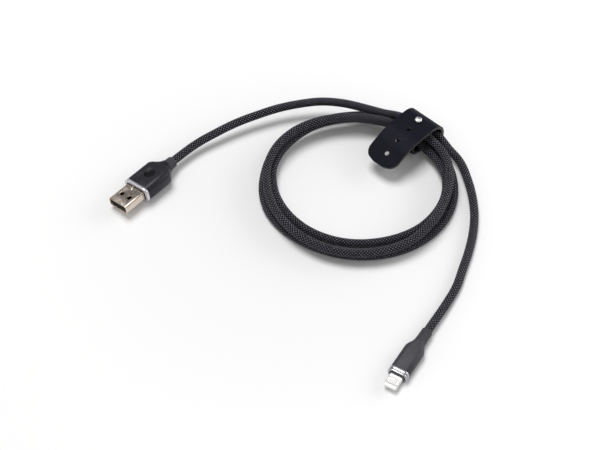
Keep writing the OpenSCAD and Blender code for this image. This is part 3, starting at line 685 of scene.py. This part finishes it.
def tube_mesh(name, line, radius, sides):
    """A round skin along a line, with a UV map: once around, and metres along."""
    points, runs = [], []
    tangent = (line[1] - line[0]).normalized()
    side = tangent.orthogonal().normalized()
    run = 0.0
    for k, point in enumerate(line):
        ahead, behind = line[min(k + 1, len(line) - 1)], line[max(k - 1, 0)]
        turned = (ahead - behind).normalized()
        side = (tangent.rotation_difference(turned) @ side).normalized()
        tangent = turned
        up = tangent.cross(side)
        run += (point - line[k - 1]).length if k else 0.0
        runs.append(run)
        for i in range(sides):
            t = 2 * pi * i / sides
            points.append(point + radius * (cos(t) * side + sin(t) * up))
    faces, places = [], []
    for k in range(len(line) - 1):
        for i in range(sides):
            j = (i + 1) % sides
            faces.append((k * sides + i, k * sides + j, (k + 1) * sides + j, (k + 1) * sides + i))
            u, v = i / sides, (i + 1) / sides
            places += [(u, runs[k]), (v, runs[k]), (v, runs[k + 1]), (u, runs[k + 1])]
    last = (len(line) - 1) * sides
    for cap in (tuple(range(sides - 1, -1, -1)), tuple(last + i for i in range(sides))):
        faces.append(cap)
        places += [(0.0, 0.0)] * sides
    mesh = bpy.data.meshes.new(name)
    mesh.from_pydata([tuple(point * MM) for point in points], [], faces)
    layer = mesh.uv_layers.new(name="CordMap")
    layer.data.foreach_set("uv", [c for u, v in places for c in (u, v * MM)])
    mesh.update()
    return mesh


def braid_material(settings):
    material, tree, shader = start_material(
        "braid", Sheen_Weight=0.08, Sheen_Roughness=0.3, Specular_IOR_Level=0.2
    )
    shader.inputs["Sheen Tint"].default_value = (0.75, 0.78, 0.86, 1)
    place = node_of(tree, "ShaderNodeUVMap", uv_map="CordMap").outputs[0]
    weave = use_group(
        tree,
        "Braid weave",
        place,
        Yarns_around=float(settings.yarns_around),
        Yarns_per_metre=1.0 / settings.yarn_pitch,
        Fleck_size=settings.fleck,
    )
    dark, light = list(settings.dark), list(settings.light)
    uneven = spread_range(tree, weave["Fuzz"], 0.4, 0.62, 0.15, 1.0)
    yarn = tint(tree, dark, weave["Fleck"], uneven, light)
    yarn = tint(tree, yarn, weave["Fuzz"], 0.35, shade(dark, 2.2))
    # Painted shade: the yarns' colour goes darker in the low places between them
    feed(tree, shader.inputs["Base Color"], tint(tree, yarn, weave["Crevice shade"], 0.85, shade(dark, 0.25)))
    feed(tree, shader.inputs["Roughness"], spread_range(tree, weave["Fuzz"], 0.3, 0.7, 0.5, 0.75))
    bump(tree, shader, weave["Height"], 0.9, 0.22)
    return material


class CABLE_OT_cord(bpy.types.Operator):
    """Lay the braided cord from plug to plug, three turns wound through the strap"""

    bl_idname = "cable.cord"
    bl_label = "Braided cord"

    def execute(self, context):
        settings = context.scene.cable_cord
        radius = settings.diameter / 2 / MM
        line, length = smooth_line(cord_stations(radius), LINE_STEP)
        cord = bpy.data.objects.new("braided_cord", tube_mesh("braided_cord", line, radius, settings.sides))
        context.collection.objects.link(cord)
        solids = ("usb_tail", "coil", "phone_tail")
        settle(cord, braid_material(settings), "braid_charcoal", *solids, smooth=60)
        return {"FINISHED"}


# ---- the plugs ----


def punch_tool():
    """The blunt tip of the punch that marks the shell."""
    clear_selection()
    bpy.ops.mesh.primitive_uv_sphere_add(segments=24, ring_count=12, radius=PUNCH_R * MM)
    tool = bpy.context.object
    middle = (Vector(PUNCH_MARK) + Vector((0, 0, PUNCH_RISE))) * MM
    tool.data.transform(place_matrix(USB_AT, USB_YAW, USB_ROLL) @ Matrix.Translation(middle))
    return tool


class CABLE_OT_usb_plug(bpy.types.Operator):
    """Dress the USB plug: shell, contacts, ring, body and strain relief"""

    bl_idname = "cable.usb_plug"
    bl_label = "USB plug"

    def execute(self, context):
        colours = context.scene.cable_plugs
        shell = metal_material("shell_steel", list(colours.shell), 0.2, USB_YAW)
        ring = metal_material("usb_ring_metal", list(colours.ring), 0.36, USB_YAW, AROUND, scale=300.0)
        body = usb_body_material(list(colours.usb_body))
        neck = moulded_material("usb_neck_rubber", list(colours.usb_neck), 0.55)
        black = moulded_material("contact_block_plastic", (0.004, 0.004, 0.004), 0.5, dust=0.0, shine=0.15)
        gold = metal_material("usb_contact_gold", list(colours.contact), 0.18, USB_YAW)
        refined_piece("usb_shell", "usb_plug_shell", shell, "shell_steel", 0.07, cutter=punch_tool())
        refined_piece("usb_ring", "usb_plug_ring", ring, "ring_silver", 0.12)
        refined_piece("usb_housing", "usb_plug_body", body, "usb_body_charcoal", 0.12, angle=55, smooth=40)
        refined_piece("usb_strain_relief", "usb_plug_neck", neck, "neck_charcoal", 0.1, angle=50)
        dress(black, "usb_contact_block")
        dress(gold, *[f"usb_contact_{k}" for k in range(1, 5)])
        return {"FINISHED"}


class CABLE_OT_phone_plug(bpy.types.Operator):
    """Dress the phone plug: tab, contacts, grooved ring, body and strain relief"""

    bl_idname = "cable.phone_plug"
    bl_label = "Phone plug"

    def execute(self, context):
        colours = context.scene.cable_plugs
        tab = metal_material("tab_metal", list(colours.tab), 0.45, PHONE_YAW, smear=0.04)
        darker = shade(colours.ring, 0.72)
        ring = metal_material("phone_ring_metal", darker, 0.3, PHONE_YAW, AROUND, scale=300.0)
        body = moulded_material("phone_body_plastic", list(colours.phone_body), 0.5)
        neck = moulded_material("phone_neck_rubber", shade(colours.phone_body, 1.05), 0.58)
        base = moulded_material("tab_base_plastic", (0.08, 0.08, 0.085), 0.5)
        white = moulded_material("tab_insulator_plastic", (0.8, 0.8, 0.79), 0.35, dust=0.0)
        pads = metal_material("phone_contact_plating", list(colours.pad), 0.3, PHONE_YAW)
        refined_piece("phone_tab", "phone_plug_tab", tab, "tab_silver", 0.06)
        refined_piece("phone_ring", "phone_plug_ring", ring, "ring_silver", 0.08)
        refined_piece("phone_housing", "phone_plug_body", body, "phone_body_grey", 0.1, angle=55, smooth=40)
        refined_piece("phone_strain_relief", "phone_plug_neck", neck, "phone_neck_grey", 0.08, angle=50)
        dress(base, "phone_tab_base")
        dress(white, "phone_tab_insulator")
        dress(pads, *[f"phone_contact_{side}_{k}" for side in ("top", "bottom") for k in range(1, 9)])
        return {"FINISHED"}


class CABLE_OT_inner_parts(bpy.types.Operator):
    """Give the wires, board and moulds inside the plugs their finishes"""

    bl_idname = "cable.inner_parts"
    bl_label = "Parts inside the plugs"

    def execute(self, context):
        mould = moulded_material("inner_mould_plastic", (0.05, 0.05, 0.055), 0.6)
        dress(mould, "usb_inner_mould", "phone_inner_mould")
        wires = {1: (0.6, 0.03, 0.03), 2: (0.8, 0.8, 0.8), 3: (0.03, 0.35, 0.08), 4: (0.02, 0.02, 0.02)}
        for number, colour in wires.items():
            jacket = moulded_material(f"wire_jacket_{number}", colour, 0.45, dust=0.0)
            dress(jacket, f"usb_wire_{number}", f"phone_wire_{number}")
        dress(moulded_material("board_mask", (0.02, 0.16, 0.06), 0.35), "phone_board")
        dress(moulded_material("chip_epoxy", (0.02, 0.02, 0.02), 0.6), "phone_chip")
        dress(metal_material("can_tin", (0.7, 0.7, 0.71), 0.3, PHONE_YAW), "phone_can")
        return {"FINISHED"}


# ---- the strap ----


def ring_part(centre, radius, first, last):
    """An arc of the loop: its length, and its point and outward way at a distance along it."""

    def at(distance):
        angle = radians(first) + distance / radius * (1 if last > first else -1)
        out = Vector((cos(angle), sin(angle)))
        return Vector(centre) + radius * out, out

    return radius * radians(abs(last - first)), at


def straight_part(start, end, angle):
    """A straight of the loop, given as an arc is; its outward way is at the angle."""
    start, end = Vector(start), Vector(end)
    out = Vector((cos(radians(angle)), sin(radians(angle))))
    way = (end - start).normalized()
    return (end - start).length, lambda distance: (start + distance * way, out)


def on_ring(centre, radius, angle):
    t = radians(angle)
    return (centre[0] + radius * cos(t), centre[1] + radius * sin(t))


def band_parts():
    wall = 180 - LEAN
    return [
        ring_part(LOOP_C, END_R, END_ANGLE, 90),
        straight_part(on_ring(LOOP_C, END_R, 90), on_ring(HIGH_IN_C, IN_R, 90), 90),
        ring_part(HIGH_IN_C, IN_R, 90, wall),
        straight_part(on_ring(HIGH_IN_C, IN_R, wall), on_ring(LOW_IN_C, IN_R, wall), wall),
        ring_part(LOW_IN_C, IN_R, wall, 270),
        straight_part(on_ring(LOW_IN_C, IN_R, 270), on_ring(LOW_OUT_C, LOW_OUT_R, 270), 270),
        ring_part(LOW_OUT_C, LOW_OUT_R, 270, 360 - OUT_ANGLE),
        ring_part(LOOP_C, LOOP_R, -OUT_ANGLE, SEAM_ANGLE),
    ]


def tongue_parts():
    top = LOOP_C[1] + LOOP_R
    bend_c = (-BEND_START, top - BEND_R)
    fall = radians(180 + DROOP)
    tip_run = TONGUE_LEN - BEND_START - BEND_R * radians(DROOP)
    start = Vector(on_ring(bend_c, BEND_R, 90 + DROOP))
    return [
        ring_part(LOOP_C, LOOP_R, SEAM_ANGLE, 90),
        straight_part((LOOP_C[0], top), (-BEND_START, top), 90),
        ring_part(bend_c, BEND_R, 90, 90 + DROOP),
        straight_part(start, start + tip_run * Vector((cos(fall), sin(fall))), 90 + DROOP),
    ]


def on_parts(parts, distance):
    for length, at in parts:
        if distance <= length or at is parts[-1][1]:
            return at(distance)
        distance -= length


def flat_leather(name, stations, edges, thickness, rows):
    """A flat strip of leather: stations along it, and its near and far edges at each."""
    clear_selection()
    bpy.ops.mesh.primitive_grid_add(x_subdivisions=len(stations) - 1, y_subdivisions=rows, size=2)
    strip = bpy.context.object
    strip.name = strip.data.name = name
    for vertex in strip.data.vertices:
        k = round((vertex.co.x + 1) / 2 * (len(stations) - 1))
        share = (vertex.co.y + 1) / 2
        low, high = edges[k]
        vertex.co = (stations[k], low + (high - low) * share, -thickness / 2)
    edit_whole(strip)
    bpy.ops.mesh.extrude_region_move(TRANSFORM_OT_translate={"value": (0, 0, thickness)})
    bpy.ops.mesh.select_all(action="SELECT")
    bpy.ops.mesh.normals_make_consistent(inside=False)
    leave_edit()
    add_bevel(strip, WORN_EDGE, 3, 60)
    apply_modifiers(strip)
    return strip


def punch(strip, x, radius, thickness):
    """A punched hole with a slightly pressed rim."""
    clear_selection()
    bpy.ops.mesh.primitive_cylinder_add(vertices=32, radius=radius, depth=thickness / 2, location=(x, 0, 0))
    tool = bpy.context.object
    bpy.ops.object.mode_set(mode="EDIT")
    for up in (1, -1):
        bpy.ops.mesh.select_all(action="DESELECT")
        bpy.ops.mesh.select_mode(type="FACE")
        leave_edit()
        for face in tool.data.polygons:
            face.select = face.normal.z * up > 0.9
        bpy.ops.object.mode_set(mode="EDIT")
        for rise, grow in FLARE:
            step = (0, 0, thickness * rise * up)
            bpy.ops.mesh.extrude_region_move(TRANSFORM_OT_translate={"value": step})
            bpy.ops.transform.resize(value=(grow, grow, 1))
    leave_edit()
    cut(strip, tool)


def cut_square(strip, x, keep_beyond):
    """Cuts the strip straight across, so that two strips meet there without a groove."""
    edit_whole(strip)
    bpy.ops.mesh.bisect(
        plane_co=(x, 0, 0),
        plane_no=(1, 0, 0),
        use_fill=True,
        clear_inner=keep_beyond,
        clear_outer=not keep_beyond,
    )
    leave_edit()


def wrap_leather(strip, parts):
    """Bends a flat strip along the loop's line and marks how hard the leather is bent, which sets the
    painted highlight on its folds.
    """
    bend_highlight = strip.data.attributes.new("bend_highlight", "FLOAT", "POINT")
    grain = strip.data.attributes.new("grain_place", "FLOAT_VECTOR", "POINT")
    for face in strip.data.polygons:
        face.material_index = 1 if abs(face.normal.z) < 0.6 else 0
    for vertex in strip.data.vertices:
        x, y, z = vertex.co
        grain.data[vertex.index].vector = (x * MM, y * MM, z * MM)
        point, out = on_parts(parts, x)
        _, turned = on_parts(parts, x + LOOK_AHEAD)
        # How hard the leather bends here, which sets how strong the painted highlight on the fold is
        bend_highlight.data[vertex.index].value = min(1.0, out.angle(turned, 0.0) / LOOK_AHEAD * FULL_HIGHLIGHT_R)
        place = point + z * out
        vertex.co = Vector((place.x, y, place.y)) * MM
    strip.data.update()


def leather_material(settings):
    material, tree, shader = start_material("leather", Specular_IOR_Level=0.1)
    place = node_of(tree, "ShaderNodeAttribute", attribute_name="grain_place").outputs["Vector"]
    bend_highlight = node_of(tree, "ShaderNodeAttribute", attribute_name="bend_highlight").outputs["Fac"]
    grain = use_group(tree, "Leather grain", place, Scale=1700.0)
    colour = list(settings.leather)
    tone = mix_colours(tree, grain["Patches"], shade(colour, 0.85), shade(colour, 1.2))
    tone = tint(tree, tone, grain["Pores"], 0.5, shade(colour, 0.5))
    # Painted highlight: the leather is lighter where it is bent hard, as a fold catches the light
    feed(tree, shader.inputs["Base Color"], tint(tree, tone, bend_highlight, 0.15, shade(colour, 2)))
    feed(tree, shader.inputs["Roughness"], spread_range(tree, grain["Patches"], 0, 1, 0.5, 0.62))
    bump(tree, shader, grain["Height"], 0.4, 0.05)
    return material


def cut_edge_material(settings):
    material, tree, shader = start_material("leather_cut_edge")
    place = node_of(tree, "ShaderNodeAttribute", attribute_name="grain_place").outputs["Vector"]
    grain = use_group(tree, "Leather grain", place, Scale=4200.0)
    colour = list(settings.edge)
    tone = mix_colours(tree, grain["Patches"], shade(colour, 0.6), colour)
    feed(tree, shader.inputs["Base Color"], mix_colours(tree, grain["Pores"], tone, shade(colour, 0.4)))
    feed(tree, shader.inputs["Roughness"], spread_range(tree, grain["Pores"], 0, 1, 0.6, 0.8))
    bump(tree, shader, grain["Height"], 0.6, 0.08)
    return material


def strap_matrix():
    t = radians(STRAP_YAW)
    reach = coil_radius(STRAP_YAW) + STRAP_OUT
    at = Vector((COIL_AT[0] + reach * cos(t), COIL_AT[1] + reach * sin(t), 0))
    return place_matrix(at, STRAP_YAW)


def even_steps(first, last, step):
    count = max(1, round((last - first) / step))
    return [first + (last - first) * k / count for k in range(count)]


def strip_edges(stations, taper, halves, corner, end, aside=0.0):
    """A strip's edges at its stations: between two half widths, with one end round."""
    edges = []
    for x in stations:
        share = min(1.0, max(0.0, (x - taper[0]) / (taper[1] - taper[0])))
        reach = halves[0] + (halves[1] - halves[0]) * share
        past = corner - abs(end - x)
        if past > 0:
            reach += sqrt(max(0.0, corner**2 - past**2)) - corner
        edges.append((aside * share - reach, aside * share + reach))
    return edges


def wrapped_band(settings):
    """The band, narrow end first: round the bundle and up to the seam at the fold."""
    thick, parts = settings.thickness / MM, band_parts()
    lengths = [length for length, _ in parts]
    total = sum(lengths)
    xs = [BAND_CORNER * (1 - cos(pi / 2 * k / 8)) for k in range(8)]
    xs += even_steps(BAND_CORNER, total + SPARE, LEATHER_STEP) + [total + SPARE]
    halves = (settings.end_width / MM / 2, settings.width / MM / 2)
    edges = strip_edges(xs, (sum(lengths[:5]), sum(lengths[:6])), halves, BAND_CORNER, 0)
    band = flat_leather("strap_band_leather", xs, edges, thick, BAND_ROWS)
    punch(band, lengths[0] + LOOP_C[0], STUD_HOLE_R, thick)
    cut_square(band, total, False)
    wrap_leather(band, parts)
    return band


def wrapped_tongue(settings):
    """The tongue from the seam on: over the fold, down over the bundle and out to its tip."""
    thick, parts = settings.thickness / MM, tongue_parts()
    total = sum(length for length, _ in parts)
    stud_x = parts[0][0] + LOOP_C[0]
    xs = [-SPARE] + even_steps(-SPARE + LEATHER_STEP, total - TIP_CORNER, LEATHER_STEP)
    xs += [total - TIP_CORNER * cos(pi / 2 * k / 10) for k in range(11)]
    halves = (settings.width / MM / 2, settings.tip_width / MM / 2)
    edges = strip_edges(xs, (stud_x, total), halves, TIP_CORNER, total, TIP_SIDE)
    tongue = flat_leather("strap_tongue_leather", xs, edges, thick, TONGUE_ROWS)
    for x in [stud_x] + [stud_x + FIRST_HOLE + k * HOLE_PITCH for k in range(FREE_HOLES)]:
        punch(tongue, x, settings.hole / MM / 2, thick)
    cut_square(tongue, 0, True)
    wrap_leather(tongue, parts)
    return tongue


class CABLE_OT_strap(bpy.types.Operator):
    """Wrap the leather strap: the band round the cord and the tongue with its holes"""

    bl_idname = "cable.strap"
    bl_label = "Leather strap"

    def execute(self, context):
        settings = context.scene.cable_strap
        leathers = [leather_material(settings), cut_edge_material(settings)]
        band, tongue = wrapped_band(settings), wrapped_tongue(settings)
        to_world = strap_matrix()
        for strip, node in ((band, "strap_band"), (tongue, "strap_tongue")):
            for leather in leathers:
                strip.data.materials.append(leather)
            strip.data.transform(to_world)
            smooth_shade(strip, 40)
            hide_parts(node)
        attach(band, "cable")
        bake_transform(tongue)
        return {"FINISHED"}


class CABLE_OT_stud(bpy.types.Operator):
    """Turn the domed stud that buttons the strap"""

    bl_idname = "cable.stud"
    bl_label = "Strap stud"

    def execute(self, context):
        colour = list(context.scene.cable_strap.stud)
        metal = metal_material("stud_metal", colour, 0.26, smear=0.05, scale=1600.0)
        refined_piece("stud_head", "stud_cap", metal, "stud_silver", 0.06, segments=3, angle=50, smooth=60)
        dress(metal, "stud_base")
        return {"FINISHED"}


# ---- the stage ----


def lay_floor(settings):
    clear_selection()
    bpy.ops.mesh.primitive_plane_add(size=FLOOR_SIDE, location=(0, 0, 0))
    floor = bpy.context.object
    floor.name = "floor"
    material, tree, shader = start_material("floor_paper", Roughness=0.9, Specular_IOR_Level=0.1)
    # Painted shade: the floor is darker round the object and fades to white further out
    away = vector_maths(tree, "DISTANCE", object_vector(tree), FLOOR_SHADE_AT)
    edge = spread_range(tree, away, FLOOR_SHADE_FROM, FLOOR_SHADE_TO)
    feed(tree, shader.inputs["Base Color"], mix_colours(tree, edge, list(settings.floor), (1, 1, 1)))
    floor.data.materials.append(material)


def light_sky(settings):
    world = bpy.context.scene.world or bpy.data.worlds.new("studio")
    bpy.context.scene.world = world
    world.use_nodes = True
    tree = world.node_tree
    sky = tree.nodes["Background"]
    way = node_of(tree, "ShaderNodeTexCoord").outputs["Generated"]
    near = vector_maths(tree, "DOT_PRODUCT", way, CARD_TOWARD)
    card = spread_range(tree, near, CARD_FROM, CARD_FULL)
    feed(tree, sky.inputs["Color"], mix_colours(tree, card, (1.0, 0.99, 0.975), (0.22, 0.22, 0.24)))
    sky.inputs["Strength"].default_value = settings.sky


def add_lamp(name, kind, at, source, energy):
    bpy.ops.object.light_add(type=kind, location=at)
    lamp = bpy.context.object
    lamp.name = name
    lamp.data.energy = energy
    lamp.rotation_euler = source.to_track_quat("Z", "Y").to_euler()
    return lamp.data


def add_camera():
    camera = bpy.data.objects.new("camera", bpy.data.cameras.new("camera"))
    bpy.context.collection.objects.link(camera)
    rise = radians(CAMERA_RISE)
    back = Vector((0, -cos(rise), sin(rise)))
    camera.location = Vector(CAMERA_TO) + CAMERA_AWAY * back
    camera.rotation_euler = back.to_track_quat("Z", "Y").to_euler()
    camera.data.sensor_width = 36
    camera.data.lens = CAMERA_LENS
    camera.data.clip_start, camera.data.clip_end = 0.01, 50
    bpy.context.scene.camera = camera


class CABLE_OT_stage(bpy.types.Operator):
    """Set the pale floor, the soft lamps and the camera"""

    bl_idname = "cable.stage"
    bl_label = "Floor, lamps and camera"

    def execute(self, context):
        settings = context.scene.cable_stage
        lay_floor(settings)
        light_sky(settings)
        high = add_lamp("high_lamp", "SUN", HIGH_LAMP_AT, Vector(HIGH_LAMP_FROM), settings.sun)
        high.angle = settings.sun_size
        back = Vector(SIDE_LAMP_AT) - Vector(SIDE_LAMP_TO)
        side = add_lamp("side_lamp", "AREA", SIDE_LAMP_AT, back, settings.rim)
        side.shape = "RECTANGLE"
        side.size, side.size_y = SIDE_LAMP_SIZE
        add_camera()
        context.scene.view_settings.view_transform = "Standard"
        return {"FINISHED"}


# ---- the panel and the add-on ----

PIECES = (
    CABLE_OT_usb_plug,
    CABLE_OT_phone_plug,
    CABLE_OT_inner_parts,
    CABLE_OT_strap,
    CABLE_OT_stud,
    CABLE_OT_cord,
)


class CABLE_PT_pieces(bpy.types.Panel):
    bl_idname = "CABLE_PT_pieces"
    bl_label = "Charging cable"
    bl_space_type = "VIEW_3D"
    bl_region_type = "UI"
    bl_category = "Cable"

    def draw(self, context):
        scene = context.scene
        for operator in (CABLE_OT_stage, *PIECES):
            self.layout.operator(operator.bl_idname)
        for group in SETTINGS:
            box = self.layout.box()
            for name in SETTINGS[group].__annotations__:
                box.prop(getattr(scene, group), name)


SETTINGS = {
    "cable_cord": CordSettings,
    "cable_plugs": PlugSettings,
    "cable_strap": StrapSettings,
    "cable_stage": StageSettings,
}
CLASSES = (*SETTINGS.values(), CABLE_OT_stage, *PIECES, CABLE_PT_pieces)


def register():
    for cls in CLASSES:
        bpy.utils.register_class(cls)
    for name, cls in SETTINGS.items():
        setattr(bpy.types.Scene, name, bpy.props.PointerProperty(type=cls))


def unregister():
    for name in SETTINGS:
        delattr(bpy.types.Scene, name)
    for cls in reversed(CLASSES):
        bpy.utils.unregister_class(cls)


def main():
    register()
    bpy.ops.cable.stage()
    bpy.ops.cable.usb_plug()
    bpy.ops.cable.phone_plug()
    bpy.ops.cable.inner_parts()
    bpy.ops.cable.strap()
    bpy.ops.cable.stud()
    bpy.ops.cable.cord()


if __name__ == "__main__":
    main()
